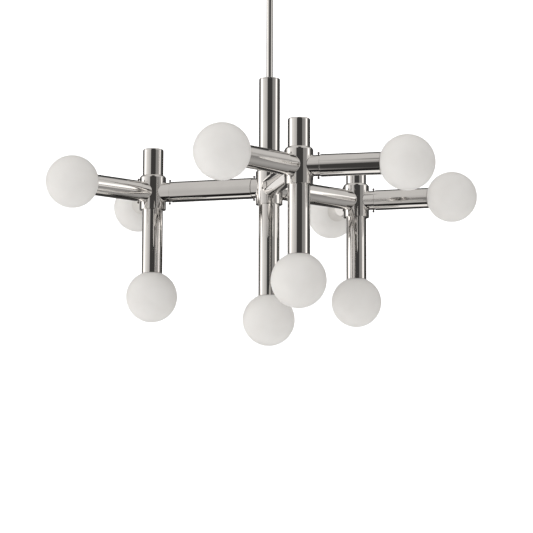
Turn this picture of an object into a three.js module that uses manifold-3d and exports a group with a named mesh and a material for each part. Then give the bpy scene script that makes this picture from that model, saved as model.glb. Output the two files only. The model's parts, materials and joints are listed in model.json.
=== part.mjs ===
// Multi arm chandelier: a thin stem hangs from a ceiling canopy and carries a centre hub.
// Three level arms lead from it to satellite hubs, each with two more level arms and a lower tube,
// and every free tube end carries a round opal globe lamp.
// Millimetres, +Z up. The origin is the middle of the ceiling bracket's top face.
// The front satellite hub lies along -Y, the right one at 30 degrees and the left one at 150 degrees.
import * as THREE from 'three';
import { mergeVertices } from 'three/addons/utils/BufferGeometryUtils.js';
import Module from 'manifold-3d';

// ---------------------------------------------------------------- driving dimensions

// layout
const ARM_DROP = 610;         // ceiling to the level of the arms' axes
const INNER_REACH = 300;      // centre hub axis to satellite hub axis
const OUTER_REACH = 245;      // satellite hub axis to globe centre
const OUTER_SPREAD = 60;      // each outer arm's angle from the outward direction
const FRONT_TWIST = 4;        // the front hub's pair of arms is fitted this far round
const SATELLITE_DROP = 257;   // arm level down to a satellite's lower globe centre
const CENTRE_DROP = 320;      // arm level down to the centre globe's centre
const STUB_TOP = 109;         // arm level up to the top of a satellite's stub tube
const CENTRE_TOP = 267;       // arm level up to the top of the centre tube's cap

// tubes: 2 inch stock
const TUBE_R = 25.4;
const TUBE_WALL = 1.5;
const TUBE_BORE_R = TUBE_R - TUBE_WALL;
const STUB_EDGE = 4;          // rounded edge of a stub tube's closed top
const TOP_WALL = 3;
const CAP_PLATE = 2.7;        // visible plate of the centre tube's cap
const CAP_EDGE = 1.5;         // rounded edge of the plate
const CAP_PLUG = 14;          // its plug inside the tube
const CAP_PLUG_FIT = 0.9;     // the plug's clearance in the bore
const GAP = 0.3;              // free gap between pieces that touch
const OVERRUN = 1;            // how far a cutter passes the face that it opens

// hubs
const COLLAR_R = 32.5;
const COLLAR_TOP = 43;
const COLLAR_BOTTOM = -42;
const SHOULDER = 6;           // height of the collar's 45 degree top shoulder
const POCKET_R = 26.2;        // pocket that takes the end of an upright tube
const POCKET_DEPTH = 14;
const WIRE_BORE_R = 17;       // passage for the wires through the hub and its branches
const BRANCH_R = 23.8;        // visible part of a branch
const BRANCH_PLUG_R = 22.8;   // part of the branch inside the arm tube
const BRANCH_PLUG = 15;
const CENTRE_BRANCH = 41;     // hub axis to the end of the arm tube on the centre hub
const SATELLITE_BRANCH = 51;  // and on a satellite hub

// clamp screws, above and below every branch, with a small ball head
const CENTRE_SCREW_INSET = 3; // from the arm tube's end back along the branch
const SATELLITE_SCREW_INSET = 6;
const SCREW_R = 1.8;
const SCREW_BALL_R = 2.8;
const SCREW_RISE = 4.6;       // branch surface to the middle of the ball
const SCREW_ROOT = 2;         // how deep the screw starts inside the branch

// globe lamps: 125 mm opal envelope with a 27 mm screw cap
const GLOBE_R = 62.5;
const GLASS_WALL = 1.3;
const NECK_JOIN_R = 22.5;     // where the globe's sphere turns into its neck
const NECK_R = 17.2;
const NECK_FLARE = 0.8;       // widening from the neck's end to its waist
const NECK_END = 82;          // globe centre back to the end of the glass neck
const LAMP_CAP_R = 13.2;
const LAMP_CAP_RIM_R = 16.3;
const LAMP_CAP_END = 108.5;   // globe centre back to the tip of the lamp cap
const LAMP_CAP_WALL = 1;
const LAMP_CAP_RIM = 4;       // height of the flared rim
const LAMP_CAP_TAPER = 7;     // height of the taper down to the contact
const LAMP_CONTACT_R = 5;

// lampholders inside the tube ends
const HOLDER_R = 19.5;
const HOLDER_BORE_R = 14.2;
const HOLDER_FLANGE_R = 23;
const HOLDER_MOUTH = 87.5;    // globe centre back to the holder's mouth
const HOLDER_DEPTH = 23;
const HOLDER_END = 128;
const HOLDER_STEP = 4;        // narrowing of the holder's back end

// suspension
const STEM_R = 8;
const STEM_BORE_R = 5.5;
const STEM_CLEARANCE_R = 8.45;
const CANOPY_R = 63.5;
const CANOPY_DEPTH = 40;
const CANOPY_WALL = 1.8;
const CANOPY_ROUND = 7;
const CANOPY_HOLE_R = 14;
const BALL_R = 16;
const BALL_FLAT = 13;         // ball centre to its flat top and bottom
const BALL_ABOVE_PLATE = 8.6; // canopy plate's upper face up to the ball's centre
const NUT_R = 12;
const NUT_HEIGHT = 5.5;
const STEM_OVER_NUT = 3;
const STEM_UNDER_CAP = 5;     // the stem's end below the centre cap's plug
const CANOPY_SCREW_X = 35;
const CANOPY_SCREW_R = 2;
const CANOPY_KNOB_R = 5.5;
const CANOPY_KNOB_HEIGHT = 6;
const CANOPY_KNOB_CHAMFER = 1.5;
const BRACKET_LENGTH = 110;
const BRACKET_WIDTH = 22;
const BRACKET_THICKNESS = 3;
const EAR_WIDTH = 26;
const EAR_LENGTH = 48;
const SLOT_IN = 42.5;
const SLOT_OUT = 50;
const SLOT_R = 2.4;
const BLOCK_SIZE = [22, 20, 11];
const BLOCK_Y = 35;

// facets round each kind of piece
const TUBE_SIDES = 16;
const HUB_SIDES = 16;
const BORE_SIDES = 8;
const GLOBE_SIDES = 16;
const SMALL_SIDES = 10;
const SCREW_SIDES = 6;
const GLOBE_STEPS = 8;        // facets along the profile of the glass, outside and inside
const GLASS_STEPS = 5;
const BALL_STEPS = 4;
const KNOB_BALL_STEPS = 2;

// ---------------------------------------------------------------- materials

const finish = (color, roughness, metalness) => ({ color, roughness, metalness });
const NICKEL = finish(0xc9c5c0, 0.08, 1);
const OPAL = finish(0xeeece8, 0.45, 0);
const CAP_METAL = finish(0xb9b6ad, 0.35, 1);
const HOLDER_WHITE = finish(0xe6e2d8, 0.5, 0);
const ZINC = finish(0x9a9c9e, 0.4, 1);
const BLOCK_WHITE = finish(0xd8d6d0, 0.6, 0);

// ---------------------------------------------------------------- helpers

const wasm = await Module();
wasm.setup();

const radians = (degrees) => (degrees * Math.PI) / 180;

// A solid of revolution about Z from an outline of [radius, height] points.
function revolve(outline, sides) {
  const points = outline.map(([r, z]) => new THREE.Vector2(r, z));
  return new THREE.LatheGeometry(points, sides).rotateX(Math.PI / 2);
}

// A hollow ring outline that closes on itself, outer wall going up.
function sleeveOutline(outer, inner, low, high) {
  return [[inner, low], [outer, low], [outer, high], [inner, high], [inner, low]];
}

// Outline points on a circle round [0, centre], from one angle to another, measured up from level.
function arc(radius, centre, from, to, steps) {
  const points = [];
  for (let i = 0; i <= steps; i += 1) {
    const a = radians(from + ((to - from) * i) / steps);
    points.push([radius * Math.cos(a), centre + radius * Math.sin(a)]);
  }
  return points;
}

const rod = (radius, low, high, sides) =>
  revolve([[0, low], [radius, low], [radius, high], [0, high]], sides);

function toSolid(geometry) {
  const bare = geometry.clone();
  bare.deleteAttribute('normal');
  bare.deleteAttribute('uv');
  const merged = mergeVertices(bare, 1e-4);
  return new wasm.Manifold(
    new wasm.Mesh({
      numProp: 3,
      vertProperties: merged.getAttribute('position').array,
      triVerts: new Uint32Array(merged.index.array),
    }),
  );
}

function toGeometry(solid) {
  const mesh = solid.getMesh();
  const geometry = new THREE.BufferGeometry();
  geometry.setAttribute('position', new THREE.BufferAttribute(mesh.vertProperties, 3));
  geometry.setIndex(new THREE.BufferAttribute(mesh.triVerts, 1));
  geometry.computeVertexNormals();
  return geometry;
}

// The first solids joined, less the others.
function carve(joined, removed) {
  let solid = toSolid(joined[0]);
  for (const geometry of joined.slice(1)) solid = solid.add(toSolid(geometry));
  for (const geometry of removed) solid = solid.subtract(toSolid(geometry));
  return toGeometry(solid);
}

function piece(name, geometry, look) {
  const mesh = new THREE.Mesh(geometry, new THREE.MeshStandardMaterial(look));
  mesh.name = name;
  return mesh;
}

// A group at [x, y, z], turned about Z by an angle in degrees.
function place(position, turn, ...children) {
  const group = new THREE.Group();
  group.position.set(...position);
  group.rotation.z = radians(turn);
  group.add(...children);
  return group;
}

// ---------------------------------------------------------------- tubes

const openTube = (low, high) =>
  revolve(sleeveOutline(TUBE_R, TUBE_BORE_R, low, high), TUBE_SIDES);

// The upright tube end stands on the pocket's floor with a small gap.
const POCKET_FLOOR_TOP = COLLAR_TOP - POCKET_DEPTH + GAP;
const POCKET_FLOOR_BOTTOM = -COLLAR_BOTTOM - POCKET_DEPTH + GAP;

// Outline points that round an upper outer edge, from the side to the top.
function roundedEdge(radius, top, round) {
  return [0, 30, 60, 90].map((a) => [
    radius - round * (1 - Math.cos(radians(a))),
    top - round * (1 - Math.sin(radians(a))),
  ]);
}

// Short tube with a closed, soft-edged top.
function stubTube(name) {
  const outline = [
    [TUBE_BORE_R, POCKET_FLOOR_TOP],
    [TUBE_R, POCKET_FLOOR_TOP],
    ...roundedEdge(TUBE_R, STUB_TOP, STUB_EDGE),
    [0, STUB_TOP],
    [0, STUB_TOP - TOP_WALL],
    [TUBE_BORE_R, STUB_TOP - TOP_WALL],
    [TUBE_BORE_R, POCKET_FLOOR_TOP],
  ];
  return piece(name, revolve(outline, TUBE_SIDES), NICKEL);
}

function centreUpperTube() {
  const top = CENTRE_TOP - CAP_PLATE - GAP;
  return piece('centre_upper_tube', openTube(POCKET_FLOOR_TOP, top), NICKEL);
}

// Plate with a plug that closes the centre tube and holds the stem.
function centreTopCap() {
  const plateLow = CENTRE_TOP - CAP_PLATE;
  const plugR = TUBE_BORE_R - CAP_PLUG_FIT;
  const outline = [
    [STEM_CLEARANCE_R, plateLow - CAP_PLUG],
    [plugR, plateLow - CAP_PLUG],
    [plugR, plateLow],
    [TUBE_R, plateLow],
    [TUBE_R, CENTRE_TOP - CAP_EDGE],
    [TUBE_R - CAP_EDGE, CENTRE_TOP],
    [STEM_CLEARANCE_R, CENTRE_TOP],
    [STEM_CLEARANCE_R, plateLow - CAP_PLUG],
  ];
  return piece('centre_top_cap', revolve(outline, TUBE_SIDES), NICKEL);
}

// ---------------------------------------------------------------- hubs

const alongX = (geometry) => geometry.rotateY(Math.PI / 2);

// One branch with its plug for the arm tube, lying along X.
function branch(length) {
  const outline = [
    [0, 0],
    [BRANCH_R, 0],
    [BRANCH_R, length - GAP],
    [BRANCH_PLUG_R, length - GAP],
    [BRANCH_PLUG_R, length + BRANCH_PLUG],
    [0, length + BRANCH_PLUG],
  ];
  return alongX(revolve(outline, TUBE_SIDES));
}

// Clamp screw that stands on a branch, `along` from the hub's axis; side is 1 above, -1 below.
function clampScrew(along, side) {
  const ballAt = BRANCH_R + SCREW_RISE;
  const neckMeetsBall = ballAt - Math.sqrt(SCREW_BALL_R ** 2 - SCREW_R ** 2);
  const outline = [
    [0, BRANCH_PLUG_R - SCREW_ROOT],
    [SCREW_R, BRANCH_PLUG_R - SCREW_ROOT],
    [SCREW_R, neckMeetsBall],
    ...arc(SCREW_BALL_R, ballAt, -30, 90, KNOB_BALL_STEPS).slice(0, -1),
    [0, ballAt + SCREW_BALL_R],
  ];
  const screw = revolve(outline, SCREW_SIDES).translate(along, 0, 0);
  return side > 0 ? screw : screw.rotateX(Math.PI);
}

// Collar with a branch at each angle, bored through for the wires.
function hub(name, angles, length, screwInset) {
  const collar = revolve([
    [0, COLLAR_BOTTOM],
    [COLLAR_R, COLLAR_BOTTOM],
    [COLLAR_R, COLLAR_TOP - SHOULDER],
    [COLLAR_R - SHOULDER, COLLAR_TOP],
    [0, COLLAR_TOP],
  ], HUB_SIDES);
  const joined = [collar];
  const removed = [
    rod(POCKET_R, COLLAR_TOP - POCKET_DEPTH, COLLAR_TOP + OVERRUN, HUB_SIDES),
    rod(POCKET_R, COLLAR_BOTTOM - OVERRUN, COLLAR_BOTTOM + POCKET_DEPTH, HUB_SIDES),
    rod(WIRE_BORE_R, COLLAR_BOTTOM, COLLAR_TOP, BORE_SIDES),
  ];
  for (const angle of angles) {
    const turn = radians(angle);
    joined.push(branch(length).rotateZ(turn));
    joined.push(clampScrew(length - screwInset, 1).rotateZ(turn));
    joined.push(clampScrew(length - screwInset, -1).rotateZ(turn));
    const bore = alongX(rod(WIRE_BORE_R, 0, length + BRANCH_PLUG + OVERRUN, BORE_SIDES));
    removed.push(bore.rotateZ(turn));
  }
  return piece(name, carve(joined, removed), NICKEL);
}

// ---------------------------------------------------------------- lamps
// A lamp unit is built along +Z: the hub's axis is at 0 and the globe's centre at `reach`.

// The tube's bore edge stops just short of the globe.
const GLOBE_SEAT = Math.sqrt(GLOBE_R ** 2 - TUBE_BORE_R ** 2) + GAP;

// Hollow opal envelope, open at the end of its neck.
function globe(name, reach) {
  const innerR = GLOBE_R - GLASS_WALL;
  const joinAngle = -90 + (Math.asin(NECK_JOIN_R / GLOBE_R) * 180) / Math.PI;
  const innerJoinAngle = -90 + (Math.asin((NECK_JOIN_R - GLASS_WALL) / innerR) * 180) / Math.PI;
  const outer = arc(GLOBE_R, reach, joinAngle, 90, GLOBE_STEPS);
  const inner = arc(innerR, reach, innerJoinAngle, 90, GLASS_STEPS).reverse();
  outer[outer.length - 1][0] = 0;
  inner[0][0] = 0;
  const end = reach - NECK_END;
  const waist = reach - (NECK_END + GLOBE_SEAT) / 2;
  const outline = [
    [NECK_R - GLASS_WALL, end],
    [NECK_R, end],
    [NECK_R + NECK_FLARE, waist],
    ...outer,
    ...inner,
    [NECK_R + NECK_FLARE - GLASS_WALL, waist],
    [NECK_R - GLASS_WALL, end],
  ];
  return piece(name, revolve(outline, GLOBE_SIDES), OPAL);
}

// Screw cap of the lamp: rim round the neck's end, screw shell and contact tip.
function lampCap(name, reach) {
  const rim = reach - NECK_END - GAP;
  const shell = rim - LAMP_CAP_RIM;
  const tip = reach - LAMP_CAP_END;
  const shellEnd = tip + LAMP_CAP_TAPER;
  const outline = [
    [0, tip],
    [LAMP_CONTACT_R, tip],
    [LAMP_CAP_R, shellEnd],
    [LAMP_CAP_R, shell],
    [LAMP_CAP_RIM_R, rim],
    [LAMP_CAP_RIM_R - LAMP_CAP_WALL, rim],
    [LAMP_CAP_R - LAMP_CAP_WALL, shell],
    [LAMP_CAP_R - LAMP_CAP_WALL, shellEnd + LAMP_CAP_WALL],
    [0, shellEnd + LAMP_CAP_WALL],
  ];
  return piece(name, revolve(outline, SMALL_SIDES), CAP_METAL);
}

// Cup with a flange that fits the tube's bore.
function lampholder(name, reach) {
  const mouth = reach - HOLDER_MOUTH;
  const end = reach - HOLDER_END;
  const flange = mouth - HOLDER_DEPTH;
  const outline = [
    [0, end],
    [HOLDER_R - HOLDER_STEP, end],
    [HOLDER_FLANGE_R, flange - HOLDER_STEP],
    [HOLDER_FLANGE_R, flange],
    [HOLDER_R, flange],
    [HOLDER_R, mouth],
    [HOLDER_BORE_R, mouth],
    [HOLDER_BORE_R, flange],
    [0, flange],
  ];
  return piece(name, revolve(outline, SMALL_SIDES), HOLDER_WHITE);
}

// Tube from `start` to the globe, with the lamp and its holder in the end.
function lampUnit(tubeName, spot, start, reach) {
  const group = new THREE.Group();
  group.add(
    piece(tubeName, openTube(start, reach - GLOBE_SEAT), NICKEL),
    lampholder('lampholder_' + spot, reach),
    lampCap('lamp_cap_' + spot, reach),
    globe('globe_' + spot, reach),
  );
  return group;
}

function hangingUnit(tubeName, spot, reach) {
  const unit = lampUnit(tubeName, spot, POCKET_FLOOR_BOTTOM, reach);
  unit.rotation.x = Math.PI;
  return unit;
}

function levelUnit(tubeName, spot, angle) {
  const unit = lampUnit(tubeName, spot, SATELLITE_BRANCH, OUTER_REACH);
  unit.rotation.y = Math.PI / 2;
  return place([0, 0, 0], angle, unit);
}

// ---------------------------------------------------------------- arms

// An inner arm with its whole satellite; the two outer names are clockwise and counterclockwise.
function satellite(side, turn, clockwiseName, counterName, twist) {
  const inner = piece(
    'inner_arm_' + side,
    alongX(openTube(CENTRE_BRANCH, INNER_REACH - SATELLITE_BRANCH)),
    NICKEL,
  );
  const clockwise = twist - OUTER_SPREAD;
  const counter = twist + OUTER_SPREAD;
  const angles = [180, clockwise, counter];
  const cluster = place(
    [INNER_REACH, 0, 0],
    0,
    hub('hub_' + side, angles, SATELLITE_BRANCH, SATELLITE_SCREW_INSET),
    stubTube('stub_' + side),
    hangingUnit('lower_tube_' + side, side + '_lower', SATELLITE_DROP),
    levelUnit('outer_arm_' + clockwiseName, clockwiseName, clockwise),
    levelUnit('outer_arm_' + counterName, counterName, counter),
  );
  return place([0, 0, 0], turn, inner, cluster);
}

// ---------------------------------------------------------------- suspension

const PLATE_TOP = -CANOPY_DEPTH + CANOPY_WALL;
const BALL_Z = PLATE_TOP + BALL_ABOVE_PLATE;
const NUT_LOW = BALL_Z + BALL_FLAT + GAP;

// Hollow stem from inside the centre tube's cap up through the ball and its nut.
function stemRod() {
  const low = -ARM_DROP + CENTRE_TOP - CAP_PLATE - CAP_PLUG - STEM_UNDER_CAP;
  const high = NUT_LOW + NUT_HEIGHT + STEM_OVER_NUT;
  const outline = sleeveOutline(STEM_R, STEM_BORE_R, low, high);
  return piece('stem_rod', revolve(outline, TUBE_SIDES), NICKEL);
}

// Ball bored for the stem, with flats above and below.
function swivelBall() {
  const flatAngle = (Math.asin(BALL_FLAT / BALL_R) * 180) / Math.PI;
  const outline = [
    [STEM_CLEARANCE_R, BALL_Z - BALL_FLAT],
    ...arc(BALL_R, BALL_Z, -flatAngle, flatAngle, BALL_STEPS),
    [STEM_CLEARANCE_R, BALL_Z + BALL_FLAT],
    [STEM_CLEARANCE_R, BALL_Z - BALL_FLAT],
  ];
  return piece('swivel_ball', revolve(outline, TUBE_SIDES), NICKEL);
}

function stemNut() {
  const hexagon = rod(NUT_R, NUT_LOW, NUT_LOW + NUT_HEIGHT, 6);
  const bore = rod(STEM_CLEARANCE_R, NUT_LOW - OVERRUN, NUT_LOW + NUT_HEIGHT + OVERRUN, TUBE_SIDES);
  return piece('stem_nut', carve([hexagon], [bore]), ZINC);
}

// Round cover cup, open at the ceiling, with the ball's hole and two screw holes.
function canopy() {
  const innerR = CANOPY_R - CANOPY_WALL;
  const low = -CANOPY_DEPTH;
  const corner = (radius) =>
    [0, 30, 60, 90].map((a) => [
      CANOPY_R - CANOPY_ROUND + radius * Math.sin(radians(a)),
      low + CANOPY_ROUND - radius * Math.cos(radians(a)),
    ]);
  const outline = [
    [CANOPY_HOLE_R, low],
    ...corner(CANOPY_ROUND),
    [CANOPY_R, -GAP],
    [innerR, -GAP],
    ...corner(CANOPY_ROUND - CANOPY_WALL).reverse(),
    [CANOPY_HOLE_R, PLATE_TOP],
    [CANOPY_HOLE_R, low],
  ];
  const holes = [-1, 1].map((side) =>
    rod(CANOPY_SCREW_R + GAP, low - OVERRUN, PLATE_TOP + OVERRUN, SCREW_SIDES)
      .translate(side * CANOPY_SCREW_X, 0, 0));
  return piece('canopy', carve([revolve(outline, HUB_SIDES)], holes), NICKEL);
}

// Long screw from the bracket through the canopy, with a round knob below.
function canopyScrew(name, side) {
  const knobTop = -CANOPY_DEPTH - GAP;
  const knobLow = knobTop - CANOPY_KNOB_HEIGHT;
  const outline = [
    [0, knobLow],
    [CANOPY_KNOB_R - CANOPY_KNOB_CHAMFER, knobLow],
    [CANOPY_KNOB_R, knobLow + CANOPY_KNOB_CHAMFER],
    [CANOPY_KNOB_R, knobTop],
    [CANOPY_SCREW_R, knobTop],
    [CANOPY_SCREW_R, -2 * GAP],
    [0, -2 * GAP],
  ];
  const screw = piece(name, revolve(outline, SMALL_SIDES), NICKEL);
  screw.position.x = side * CANOPY_SCREW_X;
  return screw;
}

// Flat crossbar with an ear for the terminal block, slots for the ceiling box and two screw holes.
function ceilingBracket() {
  const halfLength = BRACKET_LENGTH / 2;
  const halfWidth = BRACKET_WIDTH / 2;
  const halfEar = EAR_WIDTH / 2;
  const shape = new THREE.Shape();
  shape.moveTo(-halfLength, -halfWidth);
  shape.lineTo(halfLength, -halfWidth);
  shape.lineTo(halfLength, halfWidth);
  shape.lineTo(halfEar, halfWidth);
  shape.lineTo(halfEar, EAR_LENGTH);
  shape.lineTo(-halfEar, EAR_LENGTH);
  shape.lineTo(-halfEar, halfWidth);
  shape.lineTo(-halfLength, halfWidth);
  shape.closePath();
  for (const side of [-1, 1]) {
    const slot = new THREE.Path();
    slot.absarc(side * SLOT_OUT, 0, SLOT_R, radians(-90 * side), radians(90 * side), side < 0);
    slot.absarc(side * SLOT_IN, 0, SLOT_R, radians(90 * side), radians(270 * side), side < 0);
    slot.closePath();
    const hole = new THREE.Path();
    hole.absarc(side * CANOPY_SCREW_X, 0, CANOPY_SCREW_R + GAP, 0, 2 * Math.PI, false);
    shape.holes.push(slot, hole);
  }
  const plate = new THREE.ExtrudeGeometry(shape, {
    depth: BRACKET_THICKNESS,
    bevelEnabled: false,
    curveSegments: 4,
  });
  return piece('ceiling_bracket', plate.translate(0, 0, -BRACKET_THICKNESS), ZINC);
}

function terminalBlock() {
  const block = piece('terminal_block', new THREE.BoxGeometry(...BLOCK_SIZE), BLOCK_WHITE);
  block.position.set(0, BLOCK_Y, -BRACKET_THICKNESS - GAP - BLOCK_SIZE[2] / 2);
  return block;
}

// ---------------------------------------------------------------- assembly

const group = new THREE.Group();
group.add(
  ceilingBracket(),
  terminalBlock(),
  canopy(),
  canopyScrew('canopy_screw_left', -1),
  canopyScrew('canopy_screw_right', 1),
  swivelBall(),
  stemNut(),
  stemRod(),
  place(
    [0, 0, -ARM_DROP],
    0,
    centreTopCap(),
    centreUpperTube(),
    hub('centre_hub', [30, 150, 270], CENTRE_BRANCH, CENTRE_SCREW_INSET),
    hangingUnit('centre_lower_tube', 'centre_lower', CENTRE_DROP),
    satellite('front', 270, 'front_left', 'front_right', FRONT_TWIST),
    satellite('right', 30, 'right_outer', 'right_back', 0),
    satellite('left', 150, 'left_back', 'left_outer', 0),
  ),
);

export default group;
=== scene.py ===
"""Looks of a multi arm chandelier: polished nickel tubes and hubs, opal globe lamps, canopy.

Every piece is modelled in millimetres in a frame of its own, with its axis along +Z, and then
placed by the CAD frame's boxes and joints.
"""

import json
import math

import bpy
from mathutils import Matrix, Vector


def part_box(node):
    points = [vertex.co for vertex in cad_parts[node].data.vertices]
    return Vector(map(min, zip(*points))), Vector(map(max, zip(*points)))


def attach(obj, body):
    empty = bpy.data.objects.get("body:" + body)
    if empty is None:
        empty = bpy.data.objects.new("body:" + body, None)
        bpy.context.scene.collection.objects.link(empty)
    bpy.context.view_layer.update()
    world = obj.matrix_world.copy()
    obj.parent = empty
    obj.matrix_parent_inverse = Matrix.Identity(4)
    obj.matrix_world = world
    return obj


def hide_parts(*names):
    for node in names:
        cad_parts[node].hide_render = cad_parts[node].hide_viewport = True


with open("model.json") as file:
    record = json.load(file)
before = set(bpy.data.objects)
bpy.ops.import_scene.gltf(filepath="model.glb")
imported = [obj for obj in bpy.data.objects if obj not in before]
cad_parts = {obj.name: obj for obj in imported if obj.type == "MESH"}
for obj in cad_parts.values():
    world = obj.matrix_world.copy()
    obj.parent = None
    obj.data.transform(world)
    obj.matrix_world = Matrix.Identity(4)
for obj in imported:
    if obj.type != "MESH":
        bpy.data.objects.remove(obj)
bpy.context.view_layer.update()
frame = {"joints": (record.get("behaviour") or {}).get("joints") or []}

# ------------------------------------------------------------------ dimensions, millimetres

MM = 0.001
GAP = 0.3

TUBE_R = 25.4
TUBE_BORE_R = 23.9
TUBE_EDGE = 0.35
STUB_TOP = 109
STUB_EDGE = 4
STUB_WALL = 3
CENTRE_TOP = 267
CAP_PLATE = 2.7
CAP_PLUG = 14
CAP_PLUG_R = 23

COLLAR_R = 32.5
COLLAR_TOP = 43
COLLAR_BOTTOM = -42
# Corners of the collar's shoulder, each (in from the side, down from the top).
SHOULDER_FACETS = ((0, 6.4), (1.3, 3.6), (3.9, 1.0), (6, 0))
POCKET_R = 26.2
POCKET_DEPTH = 14
WIRE_BORE_R = 17
BRANCH_R = 23.8
BRANCH_PLUG_R = 22.8
BRANCH_PLUG = 15
BRANCH_ROOT_X = 8             # a branch starts this far from the hub's axis, inside the collar
BRANCH_ROOT_R = 20
BRANCH_EDGE = 0.35
CENTRE_BRANCH = 41
SATELLITE_BRANCH = 51
FILLET = 1.8
FILLET_SINK = 0.06            # the fillet meets the collar this far under its surface
FILLET_STEPS = 5

CENTRE_SCREW_INSET = 3
SATELLITE_SCREW_INSET = 6
SCREW_R = 1.8
SCREW_BALL_R = 2.8
SCREW_RISE = 4.6

INNER_REACH = 300
OUTER_REACH = 245
SATELLITE_DROP = 257
CENTRE_DROP = 320

GLOBE_R = 62.5
GLASS_WALL = 1.3
NECK_JOIN_R = 22.5
NECK_R = 17.2
NECK_END = 82
NECK_FLARE = 0.8
LAMP_CAP_R = 13.2
LAMP_CAP_RIM_R = 16.3
LAMP_CAP_END = 108.5
THREAD_PITCH = 3.63
THREAD_DEPTH = 0.9
HOLDER_R = 19.5
HOLDER_BORE_R = 14.2
HOLDER_FLANGE_R = 23
HOLDER_MOUTH = 87.5
HOLDER_DEPTH = 23
HOLDER_END = 128
GLOBE_SEAT = math.sqrt(GLOBE_R**2 - TUBE_BORE_R**2) + GAP

STEM_R = 8
STEM_BORE_R = 5.5
STEM_CLEARANCE_R = 8.45
STEM_UNDER_CAP = 5
CANOPY_R = 63.5
CANOPY_DEPTH = 40
CANOPY_WALL = 1.8
CANOPY_ROUND = 7
CANOPY_HOLE_R = 14
BALL_R = 16
BALL_FLAT = 13
NUT_R = 12
NUT_HEIGHT = 5.5
CANOPY_SCREW_R = 2
KNOB_R = 5.5
KNOB_HEIGHT = 6
BRACKET_THICKNESS = 3
BRACKET_SLOTS = ((42.5, 50), (-50, -42.5))   # centres of each slot's two round ends along X
BRACKET_SLOT_R = 2.4
STEM_THREAD = 11              # threaded length at the stem's top

TUBE_SIDES = 128
GLOBE_SIDES = 128
SMALL_SIDES = 64
SCREW_SIDES = 28

# ------------------------------------------------------------------ places in the CAD frame


def middle(node):
    low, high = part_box(node)
    return (low + high) / 2


joints = {j["name"]: j for j in frame["joints"]}
arm_level = middle("inner_arm_front").z
ball_z = middle("swivel_ball").z / MM
hub_axis = {"centre": Vector((0, 0, arm_level))}
for side in ("front", "right", "left"):
    hub_axis[side] = Vector((*middle("stub_" + side).xy, arm_level))
lamp_axis = {name[len("unscrew_"):]: Vector(j["axis"]).normalized()
             for name, j in joints.items() if name.startswith("unscrew_")}
OUTER_ARMS = {
    "front": ("front_left", "front_right"),
    "right": ("right_outer", "right_back"),
    "left": ("left_back", "left_outer"),
}


def along(origin, axis):
    """Matrix in metres that takes a piece built in millimetres along +Z to an origin and an axis."""
    turn = Vector(axis).to_track_quat("Z", "Y").to_matrix().to_4x4()
    return Matrix.Translation(origin) @ turn @ Matrix.Scale(MM, 4)


def upright(origin):
    return Matrix.Translation(origin) @ Matrix.Scale(MM, 4)


CEILING = upright((0, 0, 0))

# ------------------------------------------------------------------ node helpers


def new_material(name):
    material = bpy.data.materials.new(name)
    material.use_nodes = True
    nodes, links = material.node_tree.nodes, material.node_tree.links
    nodes.clear()
    shader = nodes.new("ShaderNodeBsdfPrincipled")
    out = nodes.new("ShaderNodeOutputMaterial")
    links.new(shader.outputs["BSDF"], out.inputs["Surface"])
    place = nodes.new("ShaderNodeTexCoord")
    return material, nodes, links, shader, place.outputs["Object"]


def noise(nodes, links, place, scale, detail=3, roughness=0.5, distortion=0.0):
    node = nodes.new("ShaderNodeTexNoise")
    node.inputs["Scale"].default_value = scale
    node.inputs["Detail"].default_value = detail
    node.inputs["Roughness"].default_value = roughness
    node.inputs["Distortion"].default_value = distortion
    links.new(place, node.inputs["Vector"])
    return node.outputs["Fac"]


def spread(nodes, links, value, low, high, start=0.35, end=0.65):
    """Maps a noise value onto a range."""
    node = nodes.new("ShaderNodeMapRange")
    for socket, number in (("From Min", start), ("From Max", end), ("To Min", low), ("To Max", high)):
        node.inputs[socket].default_value = number
    links.new(value, node.inputs["Value"])
    return node.outputs["Result"]


def blend_colours(nodes, links, value, first, second, start=0.35, end=0.65):
    ramp = nodes.new("ShaderNodeValToRGB")
    ramp.color_ramp.elements[0].position = start
    ramp.color_ramp.elements[1].position = end
    ramp.color_ramp.elements[0].color = (*first, 1)
    ramp.color_ramp.elements[1].color = (*second, 1)
    links.new(value, ramp.inputs["Fac"])
    return ramp.outputs["Color"]


def bump(nodes, links, shader, value, strength, distance):
    node = nodes.new("ShaderNodeBump")
    node.inputs["Strength"].default_value = strength
    node.inputs["Distance"].default_value = distance
    links.new(value, node.inputs["Height"])
    links.new(node.outputs["Normal"], shader.inputs["Normal"])


def stretched(nodes, links, place, scale):
    node = nodes.new("ShaderNodeMapping")
    node.inputs["Scale"].default_value = scale
    links.new(place, node.inputs["Vector"])
    return node.outputs["Vector"]


# ------------------------------------------------------------------ materials


def polished_nickel():
    """Mirror bright plate: warm grey, with handling smears and a trace of the polishing wheel."""
    material, nodes, links, shader, place = new_material("polished_nickel")
    shader.inputs["Metallic"].default_value = 1.0
    tone = noise(nodes, links, place, 9, 4, 0.6)
    links.new(blend_colours(nodes, links, tone, (0.765, 0.745, 0.725), (0.815, 0.795, 0.772)),
              shader.inputs["Base Color"])
    smears = noise(nodes, links, place, 42, 5, 0.65, 0.6)
    links.new(spread(nodes, links, smears, 0.028, 0.075, 0.4, 0.75), shader.inputs["Roughness"])
    wheel = noise(nodes, links, stretched(nodes, links, place, (1, 1, 6)), 55, 2)
    bump(nodes, links, shader, wheel, 0.05, 0.0002)
    return material


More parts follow.
